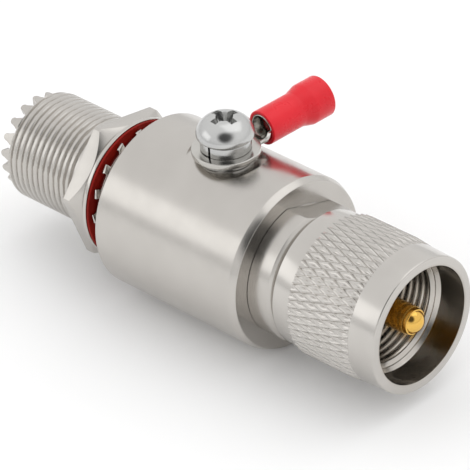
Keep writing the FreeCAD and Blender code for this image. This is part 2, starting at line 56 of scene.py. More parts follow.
def box_mm(node):
    """Lowest and highest corners of a CAD node, in millimetres."""
    low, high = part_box(node)
    return low / MM, high / MM


# Places read from the frame: lowest and highest corners of the nodes
HOUSING_LOW, HOUSING_HIGH = box_mm("main_housing")
GASKET_LOW, GASKET_HIGH = box_mm("panel_gasket")
BACKING_LOW, BACKING_HIGH = box_mm("backing_washer")
LOCK_LOW, LOCK_HIGH = box_mm("lock_washer")
NUT_LOW, NUT_HIGH = box_mm("mounting_nut")
COUPLING_LOW, COUPLING_HIGH = box_mm("coupling_nut")
MALE_HIGH = box_mm("male_body")[1]
PIN_LOW, PIN_HIGH = box_mm("centre_pin")
SCREW_LOW, SCREW_HIGH = box_mm("ground_screw")
SPLIT_LOW, SPLIT_HIGH = box_mm("split_washer")
FLAT_LOW, FLAT_HIGH = box_mm("flat_washer")

BODY_R = -HOUSING_LOW.z
BODY_END = HOUSING_HIGH.x
TOOTH_TIP = HOUSING_LOW.x
SCREW_X = (FLAT_LOW.x + FLAT_HIGH.x) / 2
SCREW_AXIS = Matrix.Translation((SCREW_X, 0, 0))
SEAT_Z = FLAT_LOW.z
SHEET_LOW = FLAT_HIGH.z
SHEET_HIGH = SPLIT_LOW.z
HEAD_LIFT = 0.4
HEAD_Z = SPLIT_HIGH.z + HEAD_LIFT

# Main housing
FACE_X = 0.0
BARREL_LAP = 1.0
HOUSING_EASE = 0.07
CUT_EASE = 0.03
BARREL_R = 7.9375
BARREL_END = TOOTH_TIP + 2.0
BARREL_CHAMFER = 0.45
BARREL_BORE_R = 6.0
THREAD_PITCH = 1.0583
THREAD_DEPTH = 0.4
THREAD_CREST = 0.4
THREAD_ROOT = 0.04
THREAD_END = -3.4
THREAD_RUN_OUT = 0.5
THREAD_OVERRUN = 0.1
BODY_EDGE = 0.3
FACE_CHAMFER_LEN = 1.0
FACE_CHAMFER_R = 0.45
CAVITY_R = 7.5
CAVITY_START = 3.0
SPIGOT_BORE_R = 9.0
SPIGOT_LEN = 7.7
SEAT_R = 5.5
HOLE_R = 2.06
HOLE_FLOOR = 8.2

# Serrated end
TOOTH_COUNT = 18
TOOTH_OUTER_R = 7.1
TOOTH_HALF_ROOT = 1.15
TOOTH_HALF_SHOULDER = 0.53
TOOTH_SHOULDER = 1.35
TOOTH_SINK = 0.35
TOOTH_ARC_STEPS = 10
TOOTH_BEVEL = 0.1

# Bulkhead hardware
NUT_EASE = 0.07
BACKING_EASE = 0.1
GASKET_EASE = 0.12
LOCK_EASE = 0.06
NUT_FLAT_R = 9.5
NUT_FACE_R = 9.3
NUT_CHAMFER_LEN = 1.75
NUT_CORNER_ANGLE = math.radians(110.4)
NUT_CORNER_EASE = 0.12
THREAD_CLEAR = 0.06
NUT_BORE_CHAMFER_R = 0.2
NUT_BORE_CHAMFER_LEN = 0.25
NUT_CORNER_LAND = 0.3
RING_BORE_R = BARREL_R + 0.15
LOCK_T = 0.45
LOCK_RING_R = RING_BORE_R + 0.65
LOCK_TOOTH_LEN = 0.85
LOCK_TEETH = 16
LOCK_TOOTH_W = 1.3
LOCK_TWIST = math.radians(20)
LOCK_TOOTH_SINK = 0.1
LOCK_BEVEL = 0.08

# Male body
MALE_EASE = 0.03
NECK_R = 9.8
NECK_CHAMFER_LEN = 0.6
NECK_CHAMFER_R = 0.75
NECK_SEAM = 0.06
SPIGOT_GAP = 0.02
SEAM_RECESS = 0.06
NECK_END = BODY_END + 4.1
FLAT_R = 8.75
FLATS_TILT = math.radians(18)
JOURNAL_R = 7.4
JOURNAL_END = NECK_END + 3.3
SHELL_R = 5.9
SHELL_EDGE = 0.4
SHELL_BORE_R = 4.8
SHELL_FLOOR = 21.5

# Coupling nut
COUPLING_EASE = 0.14
BORE_EASE = 0.06
BACK_BAND_R = 9.7
BACK_BAND_LEN = 3.04
BACK_EDGE_LEN = 0.06
BACK_EDGE_DROP = 0.1
KNURL_LEN = 10.6
KNURL_DEPTH = 0.34
KNURL_REPEATS = 2.75
KNURL_COUNT = 56
KNURL_STEPS = 16
KNURL_WALL = 0.26
KNURL_PIT = 0.6
KNURL_SHARES = (0.5, 0.15, 0.35)
KNURL_RUN_OUT = 0.1
FRONT_BAND_R = 9.9
FRONT_EDGE = 0.05
FRONT_TAPER = 0.15
RIM_LEN = 0.12
RIM_R = 9.6
MOUTH_R = 8.4
MOUTH_DEPTH = 4.1
STEP_CHAMFER = 0.5
STEP_LINE = 0.1
LEAD_CHAMFER = 0.42
BORE_SPLIT_R = 8.65
INNER_CREST_R = 7.4
INNER_ROOT_R = 7.62
INNER_THREAD_LEN = 8.0
INNER_THREAD_FLAT = 0.05
INNER_RUN_OUT = 0.3
RELIEF_R = 8.6
LIP_LEN = 2.9
LIP_BORE_R = 7.46

# Centre pin
PIN_EASE = 0.08
PIN_STEP = 0.02
PIN_R = 2.0
PIN_TIP_R = 1.65
PIN_DOME = 1.05
PIN_SHOULDER_LEN = 0.6
PIN_SHOULDER_R = 1.8
PIN_ROOT_R = 1.5
PIN_ROOT_END = 19.5
PIN_TAIL_R = 1.6
PIN_SHOW = 36.0
PIN_DOME_STEPS = 12

# Ground screw and washers
HEAD_EASE = 0.12
SPLIT_EASE = 0.1
FLAT_EASE = 0.12
HEAD_R = 4.0
HEAD_BASE_R = 3.7
HEAD_H = SCREW_HIGH.z - HEAD_Z
HEAD_EDGE_LOW = 0.35
HEAD_CROWN = 3.0
HEAD_FLAT_R = 1.1
HEAD_STEPS = 18
SCREW_R = 2.0
SCREW_PITCH = 0.7
SCREW_THREAD_DEPTH = 0.4
SCREW_ROWS = 10
SCREW_END_R = SCREW_R - 0.45
SCREW_TOP_R = SCREW_R - 0.1
SCREW_PLAIN = 0.3
RECESS_HALF = 2.1
RECESS_FLOOR_HALF = 0.85
RECESS_W = 1.05
RECESS_SHOULDER = 0.93
RECESS_FLOOR_SHARE = 0.8
RECESS_OVER = 0.2
RECESS_CONE_LOW = 0.7
RECESS_CONE_TOP = 1.25
RECESS_DEPTH = 1.7
RECESS_TURN = math.radians(-5)
SPLIT_R = 3.5
WASHER_BORE_R = 2.15
SPLIT_ANGLE = math.radians(-85)
SPLIT_HALF_GAP = math.radians(3.0)
SPLIT_RISE = 0.12
FLAT_WASHER_R = 3.75

# Ring terminal and sleeve
RING_EASE = 0.12
CRIMP_EASE = 0.05
SLEEVE_EASE = 0.16
RING_R = 4.7
TONGUE_HALF = 2.3
TERMINAL_YAW = math.radians(-4.4)
TERMINAL_TILT = math.radians(2)
CRIMP_START = 6.2
CRIMP_LEN = 5.2
CRIMP_R = 2.15
CRIMP_BORE_R = 1.45
CRIMP_MOUTH = 0.3
CRIMP_MOUTH_R = 1.95
CRIMP_EDGE = 0.16
CURL = math.radians(105)
TONGUE_THIN = 0.62
TONGUE_FLAT_SHARE = 0.3
TONGUE_FLAT_ANGLE = 0.02
TONGUE_ACROSS = 20
TONGUE_ALONG = 14
TONGUE_BEVEL = 0.1
RING_OVERLAP = 1.2
CRIMP_OVERLAP = 0.35
CRIMP_LEAD = 0.6
CRIMP_MOUTH_WALL = 1.5
CRIMP_Z = (SHEET_LOW + SHEET_HIGH) / 2 + 0.4
SLEEVE_START = 0.3
SLEEVE_LEN = 10.9
SLEEVE_R = 2.5
SLEEVE_FLARE_R = 3.0
SLEEVE_WALL = 0.33
SLEEVE_CLEAR = 0.03
SLEEVE_LIP = 0.7
FLARE_START = 6.1
FLARE_END = 7.8


# Mesh helpers


def point_about(axis, along, radius, angle):
    """Place a point at a station along an axis, a radius from it and an angle round it."""
    c, s = radius * math.cos(angle), radius * math.sin(angle)
    if axis == "X":
        return Vector((along, c, s))
    if axis == "Y":
        return Vector((s, along, c))
    return Vector((c, s, along))


def mesh_piece(name, verts, faces, place=None):
    """Object from millimetre points, welded and with its faces turned outward."""
    mesh = bpy.data.meshes.new(name)
    move = place or Matrix.Identity(4)
    mesh.from_pydata([(move @ Vector(v)) * MM for v in verts], [], faces)
    work = bmesh.new()
    work.from_mesh(mesh)
    bmesh.ops.remove_doubles(work, verts=work.verts, dist=1e-7)
    bmesh.ops.dissolve_degenerate(work, edges=work.edges, dist=1e-8)
    bmesh.ops.recalc_face_normals(work, faces=work.faces)
    work.to_mesh(mesh)
    work.free()
    piece = bpy.data.objects.new(name, mesh)
    bpy.context.scene.collection.objects.link(piece)
    return piece


def spun(name, section, angles=256, closed=True, axis="X", place=None, sweep=None):
    """Mesh swept round an axis, where section(angle) lists (along, radius) points.

    sweep gives a start and end angle for a part turn, whose ends are capped.
    """
    if sweep:
        start, end = sweep
        turns = [start + (end - start) * i / angles for i in range(angles + 1)]
    elif isinstance(angles, int):
        turns = [TURN * i / angles for i in range(angles)]
    else:
        turns = sorted(angles)
    verts = []
    for turn in turns:
        points = section(turn)
        size = len(points)
        verts += [point_about(axis, along, radius, turn) for along, radius in points]
    faces = []
    rings = len(turns)
    for i in range(rings - 1 if sweep else rings):
        j = (i + 1) % rings
        for k in range(size if closed else size - 1):
            m = (k + 1) % size
            faces.append((i * size + k, i * size + m, j * size + m, j * size + k))
    if sweep:
        faces.append(tuple(range(size)))
        faces.append(tuple((rings - 1) * size + k for k in range(size)))
    return mesh_piece(name, verts, faces, place)


def eased(points, radius, closed=True, steps=3):
    """Outline with every corner rounded by a short curve."""
    out = []
    count = len(points)
    for i, point in enumerate(points):
        here = Vector(point)
        if not closed and i in (0, count - 1):
            out.append(tuple(here))
            continue
        before = Vector(points[i - 1]) - here
        after = Vector(points[(i + 1) % count]) - here
        a = here + before.normalized() * min(radius, before.length * 0.4)
        b = here + after.normalized() * min(radius, after.length * 0.4)
        for k in range(steps + 1):
            t = k / steps
            q = a * (1 - t) ** 2 + here * (2 * t * (1 - t)) + b * t ** 2
            out.append((q.x, q.y))
    return out


def lathe(name, outline, ease=0.08, closed=True, angles=256, axis="X", place=None):
    """Turned piece from an (along, radius) outline."""
    rounded = eased(outline, ease, closed)
    return spun(name, lambda turn: rounded, angles, closed, axis, place)


def prism(name, first, second, place):
    """Solid between two outlines with the same number of points."""
    size = len(first)
    faces = [tuple(range(size)), tuple(range(size, 2 * size))]
    faces += [(k, (k + 1) % size, size + (k + 1) % size, size + k) for k in range(size)]
    return mesh_piece(name, first + second, faces, place)


def joined(name, pieces):
    """One object from several."""
    work = bmesh.new()
    for piece in pieces:
        work.from_mesh(piece.data)
        bpy.data.objects.remove(piece)
    mesh = bpy.data.meshes.new(name)
    work.to_mesh(mesh)
    work.free()
    piece = bpy.data.objects.new(name, mesh)
    bpy.context.scene.collection.objects.link(piece)
    return piece


def applied(piece):
    """Replace a piece's mesh by what its modifiers make of it."""
    graph = bpy.context.evaluated_depsgraph_get()
    made = bpy.data.meshes.new_from_object(piece.evaluated_get(graph))
    piece.modifiers.clear()
    piece.data = made
    return piece


def carved(piece, cutter):
    """Cut one piece with another, which is used up."""
    cut = piece.modifiers.new("cut", "BOOLEAN")
    cut.operation = "DIFFERENCE"
    cut.solver = "EXACT"
    cut.object = cutter
    bpy.context.view_layer.update()
    applied(piece)
    bpy.data.objects.remove(cutter)
    return piece


def bevelled(piece, width):
    """Round the sharp edges of a piece."""
    bevel = piece.modifiers.new("edges", "BEVEL")
    bevel.width = width * MM
    bevel.segments = 2
    bevel.limit_method = "ANGLE"
    bevel.angle_limit = math.radians(50)
    return applied(piece)


def softened(piece, angle):
    """Smooth shading that keeps flats flat and edges crisp."""
    for polygon in piece.data.polygons:
        polygon.use_smooth = True
    piece.data.set_sharp_from_angle(angle=math.radians(angle))
    weigh = piece.modifiers.new("normals", "WEIGHTED_NORMAL")
    weigh.keep_sharp = True
    return piece


def dressed(piece, material, body, node, angle):
    """Give a piece its material and its body, and hide the CAD node it stands for."""
    softened(piece, angle)
    piece.data.materials.clear()
    piece.data.materials.append(material)
    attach(piece, body)
    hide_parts(node)


# Materials


def node_material(name):
    """Empty principled material with its own coordinates."""
    material = bpy.data.materials.new(name)
    material.use_nodes = True
    tree = material.node_tree
    shader = tree.nodes["Principled BSDF"]
    where = tree.nodes.new("ShaderNodeTexCoord").outputs["Object"]
    return material, tree, shader, where


def noise(tree, where, scale, detail=2.0, stretch=(1, 1, 1)):
    """Noise over the piece's own coordinates, stretched per axis."""
    mapping = tree.nodes.new("ShaderNodeMapping")
    mapping.inputs["Scale"].default_value = stretch
    tree.links.new(where, mapping.inputs["Vector"])
    texture = tree.nodes.new("ShaderNodeTexNoise")
    texture.inputs["Scale"].default_value = scale
    texture.inputs["Detail"].default_value = detail
    tree.links.new(mapping.outputs["Vector"], texture.inputs["Vector"])
    return texture.outputs["Fac"]


def spread(tree, value, low, high):
    """Map noise, which stays near a half, onto a range."""
    node = tree.nodes.new("ShaderNodeMapRange")
    node.inputs["From Min"].default_value = 0.3
    node.inputs["From Max"].default_value = 0.7
    node.inputs["To Min"].default_value = low
    node.inputs["To Max"].default_value = high
    tree.links.new(value, node.inputs["Value"])
    return node.outputs["Result"]


def tinted(tree, value, dark, light):
    """Blend two colours by a value."""
    mix = tree.nodes.new("ShaderNodeMix")
    mix.data_type = "RGBA"
    mix.inputs["A"].default_value = (*dark, 1)
    mix.inputs["B"].default_value = (*light, 1)
    tree.links.new(value, mix.inputs["Factor"])
    return mix.outputs["Result"]


def bumped(tree, shader, value, strength, distance):
    """Relief from a value, with its distance in millimetres."""
    bump = tree.nodes.new("ShaderNodeBump")
    bump.inputs["Strength"].default_value = strength
    bump.inputs["Distance"].default_value = distance * MM
    tree.links.new(value, bump.inputs["Height"])
    tree.links.new(bump.outputs["Normal"], shader.inputs["Normal"])


def metal(name, dark, light, rough, stretch=(1, 1, 1), grain=0.2, grain_scale=900):
    """Plated metal with faint colour drift, uneven polish and a fine grain."""
    material, tree, shader, where = node_material(name)
    shader.inputs["Metallic"].default_value = 1.0
    drift = spread(tree, noise(tree, where, 160), 0, 1)
    tree.links.new(tinted(tree, drift, dark, light), shader.inputs["Base Color"])
    polish = spread(tree, noise(tree, where, 420, 4), rough[0], rough[1])
    tree.links.new(polish, shader.inputs["Roughness"])
    bumped(tree, shader, noise(tree, where, grain_scale, 3, stretch), grain, 0.004)
    return material


def plain_solid(name, dark, light, rough, grain_scale, grain, subsurface=0.0, specular=0.5):
    """Plastic, rubber or ceramic with a fine surface grain."""
    material, tree, shader, where = node_material(name)
    shader.inputs["Subsurface Weight"].default_value = subsurface
    shader.inputs["Subsurface Radius"].default_value = (0.002, 0.0006, 0.0005)
    shader.inputs["Specular IOR Level"].default_value = specular
    drift = spread(tree, noise(tree, where, 220), 0, 1)
    tree.links.new(tinted(tree, drift, dark, light), shader.inputs["Base Color"])
    polish = spread(tree, noise(tree, where, 500, 3), rough[0], rough[1])
    tree.links.new(polish, shader.inputs["Roughness"])
    bumped(tree, shader, noise(tree, where, grain_scale, 3), grain, 0.01)
    return material


TURNED = (6, 0.25, 0.25)
satin_nickel = metal(
    "satin_nickel", (0.52, 0.497, 0.467), (0.55, 0.526, 0.495), (0.2, 0.27), TURNED, 0.25)
bright_nickel = metal(
    "bright_nickel", (0.53, 0.507, 0.477), (0.57, 0.545, 0.513), (0.1, 0.17), TURNED, 0.2)
# Nickel for the knurled grip: glossier, and lighter than satin_nickel as painted highlight on the
# knurl
grip_nickel_painted_highlight = metal(
    "grip_nickel_painted_highlight", (0.54, 0.517, 0.487), (0.58, 0.556, 0.525), (0.15, 0.22), TURNED, 0.25)
# Darker copy of the nickel for the captive nut's mouth, inner thread and lip: painted shade for the
# inside
bore_nickel_painted_shade = metal(
    "bore_nickel_painted_shade", (0.49, 0.46, 0.42), (0.56, 0.53, 0.49), (0.14, 0.22), TURNED, 0.2)
zinc_steel = metal("zinc_steel", (0.49, 0.49, 0.485), (0.57, 0.57, 0.56), (0.17, 0.27))
gold_plate = metal("gold_plate", (0.78, 0.47, 0.10), (0.86, 0.55, 0.15), (0.12, 0.18), TURNED, 0.06)
tinned_copper = metal("tinned_copper", (0.50, 0.485, 0.455), (0.58, 0.565, 0.535), (0.12, 0.22))
bronze = metal("bronze", (0.55, 0.30, 0.14), (0.65, 0.38, 0.19), (0.2, 0.3))
red_vinyl = plain_solid(
    "red_vinyl", (0.66, 0.008, 0.018), (0.74, 0.012, 0.024), (0.25, 0.34), 900, 0.1, 0.05, 0.35)
red_rubber = plain_solid(
    "red_rubber", (0.19, 0.005, 0.002), (0.27, 0.008, 0.003), (0.5, 0.65), 1500, 0.3, 0.0, 0.15)
white_ptfe = plain_solid(
    "white_ptfe", (0.80, 0.79, 0.77), (0.86, 0.85, 0.83), (0.35, 0.5), 1300, 0.1, 0.1)
ceramic = plain_solid("ceramic", (0.80, 0.77, 0.74), (0.86, 0.84, 0.81), (0.25, 0.4), 1500, 0.1)


# Pieces


def thread_depth(turns, crest=0.24, root=0.16):
    """Depth share, 0 at the crest and 1 at the root, of a 60 degree thread."""
    t = abs((turns % 1.0) - 0.5) * 2
    t = (1 - t - crest) / (1 - crest - root)
    t = min(max(t, 0.0), 1.0)
    return t * t * (3 - 2 * t)


def threaded_rows(start, end, pitch, steps=14):
    """Stations along a thread, with a number of steps to each pitch."""
    count = round((end - start) / pitch * steps)
    return [start + (end - start) * i / count for i in range(count + 1)]


def barrel_section(turn, rows):
    """Outline of the barrel with the thread's groove at this angle."""
    points = []
    for x in rows:
        lead = min((x - BARREL_END) / BARREL_CHAMFER, 1.0)
        turns = x / THREAD_PITCH - turn / TURN
        depth = THREAD_DEPTH * thread_depth(turns, THREAD_CREST, THREAD_ROOT)
        run_out = min(max((THREAD_END - x) / THREAD_RUN_OUT, 0.0), 1.0)
        radius = min(BARREL_R - depth * run_out, BARREL_R - BARREL_CHAMFER * (1 - lead))
        points.append((x, radius))
    return points


def housing_piece():
    """Barrel with its thread and teeth, and the cylinder with its ground seat."""
    rows = threaded_rows(BARREL_END, THREAD_END + THREAD_OVERRUN, THREAD_PITCH)
    rounded = eased([
        (FACE_X - BARREL_LAP, BARREL_R),
        (FACE_X, BARREL_R),
        (FACE_X, BODY_R - BODY_EDGE),
        (FACE_X + BODY_EDGE, BODY_R),
        (BODY_END - FACE_CHAMFER_LEN, BODY_R),
        (BODY_END, BODY_R - FACE_CHAMFER_R),
        (BODY_END, SPIGOT_BORE_R),
        (BODY_END - SPIGOT_LEN, SPIGOT_BORE_R),
        (BODY_END - SPIGOT_LEN, CAVITY_R),
        (CAVITY_START, CAVITY_R),
        (CAVITY_START, BARREL_BORE_R),
    ], HOUSING_EASE, False)

    def section(turn):
        return [(BARREL_END, BARREL_BORE_R)] + barrel_section(turn, rows) + rounded[1:]

    shell = spun("housing", section, 288)
    for floor, radius, angles in ((SEAT_Z, SEAT_R, 128), (HOLE_FLOOR, HOLE_R, 48)):
        post = [(floor, 0), (floor, radius), (BODY_R + 1, radius), (BODY_R + 1, 0)]
        carved(shell, lathe("post", post, CUT_EASE, False, angles, "Z", SCREW_AXIS))
    return joined("main_housing_dress", [shell] + [tooth(i) for i in range(TOOTH_COUNT)])


def tooth(index):
    """One rounded locating tooth."""
    shoulder = BARREL_END - TOOTH_SHOULDER
    length = shoulder - TOOTH_TIP
    radius = (length ** 2 + TOOTH_HALF_SHOULDER ** 2) / (2 * length)
    centre = TOOTH_TIP + radius
    half = math.atan2(TOOTH_HALF_SHOULDER, centre - shoulder)
    steps = TOOTH_ARC_STEPS
    outline = [(BARREL_END + TOOTH_SINK, -TOOTH_HALF_ROOT), (BARREL_END, -TOOTH_HALF_ROOT)]
    for k in range(steps + 1):
        a = -half + 2 * half * k / steps
        outline.append((centre - radius * math.cos(a), radius * math.sin(a)))
    outline += [(BARREL_END, TOOTH_HALF_ROOT), (BARREL_END + TOOTH_SINK, TOOTH_HALF_ROOT)]
    layers = []
    for r in (BARREL_BORE_R, TOOTH_OUTER_R):
        layers.append([(x, y, math.sqrt(r * r - y * y)) for x, y in outline])
    turn = Matrix.Rotation(TURN * index / TOOTH_COUNT, 4, "X")
    return bevelled(prism("tooth", *layers, turn), TOOTH_BEVEL)


def nut_piece():
    """Thin hex nut, chamfered toward the panel."""
    back, face = NUT_LOW.x, NUT_HIGH.x
    corner = 2 * NUT_FLAT_R / math.sqrt(3)
    slope = NUT_CHAMFER_LEN / (corner - NUT_FACE_R)
    bore = BARREL_R + THREAD_CLEAR

    def hex_radius(turn):
        off = ((turn - NUT_CORNER_ANGLE) % (TURN / 6)) - TURN / 12
        return min(NUT_FLAT_R / math.cos(off), corner - NUT_CORNER_EASE)

    def section(turn):
        r = hex_radius(turn)
        crown = max(face - slope * (r - NUT_FACE_R), back + NUT_CORNER_LAND)
        outline = [
            (back, bore + NUT_BORE_CHAMFER_R),
            (back, r),
            (crown, r),
            (face, NUT_FACE_R),
            (face, bore + NUT_BORE_CHAMFER_R),
            (face - NUT_BORE_CHAMFER_LEN, bore),
            (back + NUT_BORE_CHAMFER_LEN, bore),
        ]
        return eased(outline, NUT_EASE)

    angles = [TURN * i / 360 for i in range(360)]
    ease = math.acos(NUT_FLAT_R / (corner - NUT_CORNER_EASE))
    for i in range(6):
        middle = NUT_CORNER_ANGLE + TURN / 12 + TURN / 6 * i
        angles += [(middle - ease) % TURN, (middle + ease) % TURN]
    return spun("mounting_nut_dress", section, angles)


def hoop(name, low, high, radius, ease):
    """Flat ring on the barrel."""
    outline = [(low, RING_BORE_R), (low, radius), (high, radius), (high, RING_BORE_R)]
    return lathe(name, outline, ease, True, 192)


def backing_piece():
    """Flat metal washer behind the rubber ring."""
    low, high = BACKING_LOW.x, BACKING_HIGH.x
    return hoop("backing_washer_dress", low, high, BACKING_HIGH.y, BACKING_EASE)


def gasket_piece():
    """Flat rubber ring on the backing washer."""
    low, high = GASKET_LOW.x, GASKET_HIGH.x
    return hoop("panel_gasket_dress", low, high, GASKET_HIGH.y, GASKET_EASE)


def lock_washer_piece():
    """External tooth washer with every tooth twisted about its radius."""
    middle = (LOCK_LOW.x + LOCK_HIGH.x) / 2
    parts = [hoop("ring", middle - LOCK_T / 2, middle + LOCK_T / 2, LOCK_RING_R, LOCK_EASE)]
    tip = LOCK_RING_R + LOCK_TOOTH_LEN
    stations = (LOCK_RING_R - LOCK_TOOTH_SINK, LOCK_RING_R + LOCK_TOOTH_LEN / 2, tip)
    t, w = LOCK_T, LOCK_TOOTH_W
    corners = ((-t, -w), (t, -w), (t, w), (-t, w))
    for i in range(LOCK_TEETH):
        verts = [(x / 2, y / 2, r) for r in stations for x, y in corners]
        faces = [(0, 1, 2, 3), (8, 9, 10, 11)]
        for k in (0, 4):
            for a in range(4):
                b = (a + 1) % 4
                faces.append((k + a, k + b, k + 4 + b, k + 4 + a))
        place = Matrix.Rotation(TURN * i / LOCK_TEETH, 4, "X") @ Matrix.Translation((middle, 0, 0))
        place = place @ Matrix.Rotation(LOCK_TWIST, 4, "Z")
        parts.append(bevelled(mesh_piece("blade", verts, faces, place), LOCK_BEVEL))
    return joined("lock_washer_dress", parts)


def male_piece():
    """Plug body with its spanner flats."""
    def neck_radius(turn):
        across = abs(math.sin(turn + FLATS_TILT))
        return min(NECK_R, FLAT_R / across) if across > 0 else NECK_R

    def section(turn):
        r = neck_radius(turn)
        face_r = NECK_R - NECK_CHAMFER_R
        chamfer = min(max((r - face_r) / NECK_CHAMFER_R, 0.05), 1.0)
        seam_r = min(r, SPIGOT_BORE_R - SEAM_RECESS)
        outline = [
            (BODY_END - SPIGOT_LEN, CAVITY_R),
            (BODY_END - SPIGOT_LEN, SPIGOT_BORE_R - SPIGOT_GAP),
            (BODY_END - SPIGOT_GAP, SPIGOT_BORE_R - SPIGOT_GAP),
            (BODY_END - SPIGOT_GAP, seam_r),
            (BODY_END + NECK_SEAM, seam_r),
            (BODY_END + NECK_SEAM, r),
            (NECK_END - NECK_CHAMFER_LEN * chamfer, r),
            (NECK_END, min(r, face_r)),
            (NECK_END, JOURNAL_R),
            (JOURNAL_END, JOURNAL_R),
            (JOURNAL_END, SHELL_R),
            (MALE_HIGH.x - SHELL_EDGE, SHELL_R),
            (MALE_HIGH.x, SHELL_R - SHELL_EDGE),
            (MALE_HIGH.x, SHELL_BORE_R),
            (SHELL_FLOOR, SHELL_BORE_R),
            (SHELL_FLOOR, CAVITY_R),
        ]
        return eased(outline, MALE_EASE)

    angles = [TURN * i / 288 for i in range(288)]
    edge = math.asin(FLAT_R / NECK_R)
    for turn in (edge, math.pi - edge, math.pi + edge, TURN - edge):
        angles.append((turn - FLATS_TILT) % TURN)
    return spun("male_body_dress", section, angles)


def knurl_depth(along, turn):
    """Depth of the diamond grip: thin crossed ridges round hollow cells, each with a pit."""
    around = turn / TURN * KNURL_COUNT
    inward = min(abs((phase % 1.0) - 0.5) * 2 for phase in (along + around, along - around))
    wall = min(inward / KNURL_WALL, 1.0)
    pit = max(inward - KNURL_PIT, 0.0) / (1 - KNURL_PIT)
    wall_share, slope_share, pit_share = KNURL_SHARES
    return KNURL_DEPTH * (wall_share * wall + slope_share * inward + pit_share * pit)


def coupling_piece():
    """Outside of the knurled captive nut."""
    start, end = COUPLING_LOW.x, COUPLING_HIGH.x
    knurl_start = start + BACK_BAND_LEN
    knurl_end = knurl_start + KNURL_LEN
    front = eased([
        (knurl_end, FRONT_BAND_R - FRONT_EDGE),
        (knurl_end + FRONT_EDGE, FRONT_BAND_R),
        (end - RIM_LEN, FRONT_BAND_R - FRONT_TAPER),
        (end, RIM_R),
        (end, BORE_SPLIT_R),
    ], COUPLING_EASE, False)
    back = eased([
        (start, BORE_SPLIT_R),
        (start, BACK_BAND_R),
        (knurl_start - BACK_EDGE_LEN, BACK_BAND_R),
        (knurl_start, BACK_BAND_R - BACK_EDGE_DROP),
    ], COUPLING_EASE, False)
    rows = round(KNURL_REPEATS * KNURL_STEPS)

    def section(turn):
        knurl = []
        for i in range(rows + 1):
            x = knurl_start + KNURL_LEN * i / rows
            top = min(COUPLING_HIGH.y, FRONT_BAND_R + KNURL_RUN_OUT * (knurl_end - x))
            knurl.append((x, top - knurl_depth(i / KNURL_STEPS, turn)))
        return knurl + front + back

    return spun("coupling_nut_dress", section, KNURL_COUNT * KNURL_STEPS)


def coupling_bore_piece():
    """Mouth, inner thread and lip of the captive nut."""
    start, end = COUPLING_LOW.x, COUPLING_HIGH.x
    mouth = end - MOUTH_DEPTH
    step = mouth - STEP_CHAMFER
    lead = step - STEP_LINE
    thread_end = lead - LEAD_CHAMFER
    thread_start = step - INNER_THREAD_LEN
    front = eased([
        (end, BORE_SPLIT_R),
        (end, MOUTH_R),
        (mouth, MOUTH_R),
        (step, MOUTH_R - STEP_CHAMFER),
        (lead, MOUTH_R - STEP_CHAMFER),
        (lead, INNER_CREST_R + LEAD_CHAMFER),
        (thread_end, INNER_CREST_R),
    ], BORE_EASE, False)
    back = eased([
        (thread_start, INNER_CREST_R),
        (thread_start, RELIEF_R),
        (start + LIP_LEN, RELIEF_R),
        (start + LIP_LEN, LIP_BORE_R),
        (start, LIP_BORE_R),
        (start, BORE_SPLIT_R),
    ], COUPLING_EASE, False)
    rows = threaded_rows(thread_start, thread_end, THREAD_PITCH)[::-1]

    def section(turn):
        thread = []
        for x in rows:
            turns = x / THREAD_PITCH - turn / TURN + 0.5
            share = thread_depth(turns, INNER_THREAD_FLAT, INNER_THREAD_FLAT)
            depth = (INNER_ROOT_R - INNER_CREST_R) * share
            thread.append((x, INNER_CREST_R + depth * min((thread_end - x) / INNER_RUN_OUT, 1.0)))
        return front + thread + back

    return spun("coupling_bore_dress", section, 288)


def pin_piece():
    """Gold pin with a shouldered, domed tip."""
    tip = PIN_HIGH.x
    dome_start = tip - PIN_DOME
    body = eased([
        (PIN_LOW.x, 0),
        (PIN_LOW.x, PIN_ROOT_R),
        (PIN_ROOT_END, PIN_ROOT_R),
        (PIN_ROOT_END, PIN_TAIL_R),
        (PIN_SHOW, PIN_TAIL_R),
        (PIN_SHOW, PIN_R),
        (dome_start - PIN_SHOULDER_LEN, PIN_R),
        (dome_start, PIN_SHOULDER_R),
        (dome_start, PIN_TIP_R + PIN_STEP),
    ], PIN_EASE, False)
    radius = (PIN_TIP_R ** 2 + PIN_DOME ** 2) / (2 * PIN_DOME)
    half = math.asin(PIN_TIP_R / radius)
    dome = []
    for k in range(PIN_DOME_STEPS + 1):
        a = half * (1 - k / PIN_DOME_STEPS)
        dome.append((tip - radius + radius * math.cos(a), radius * math.sin(a)))
    outline = body + dome
    return spun("centre_pin_dress", lambda turn: outline, 96, False)


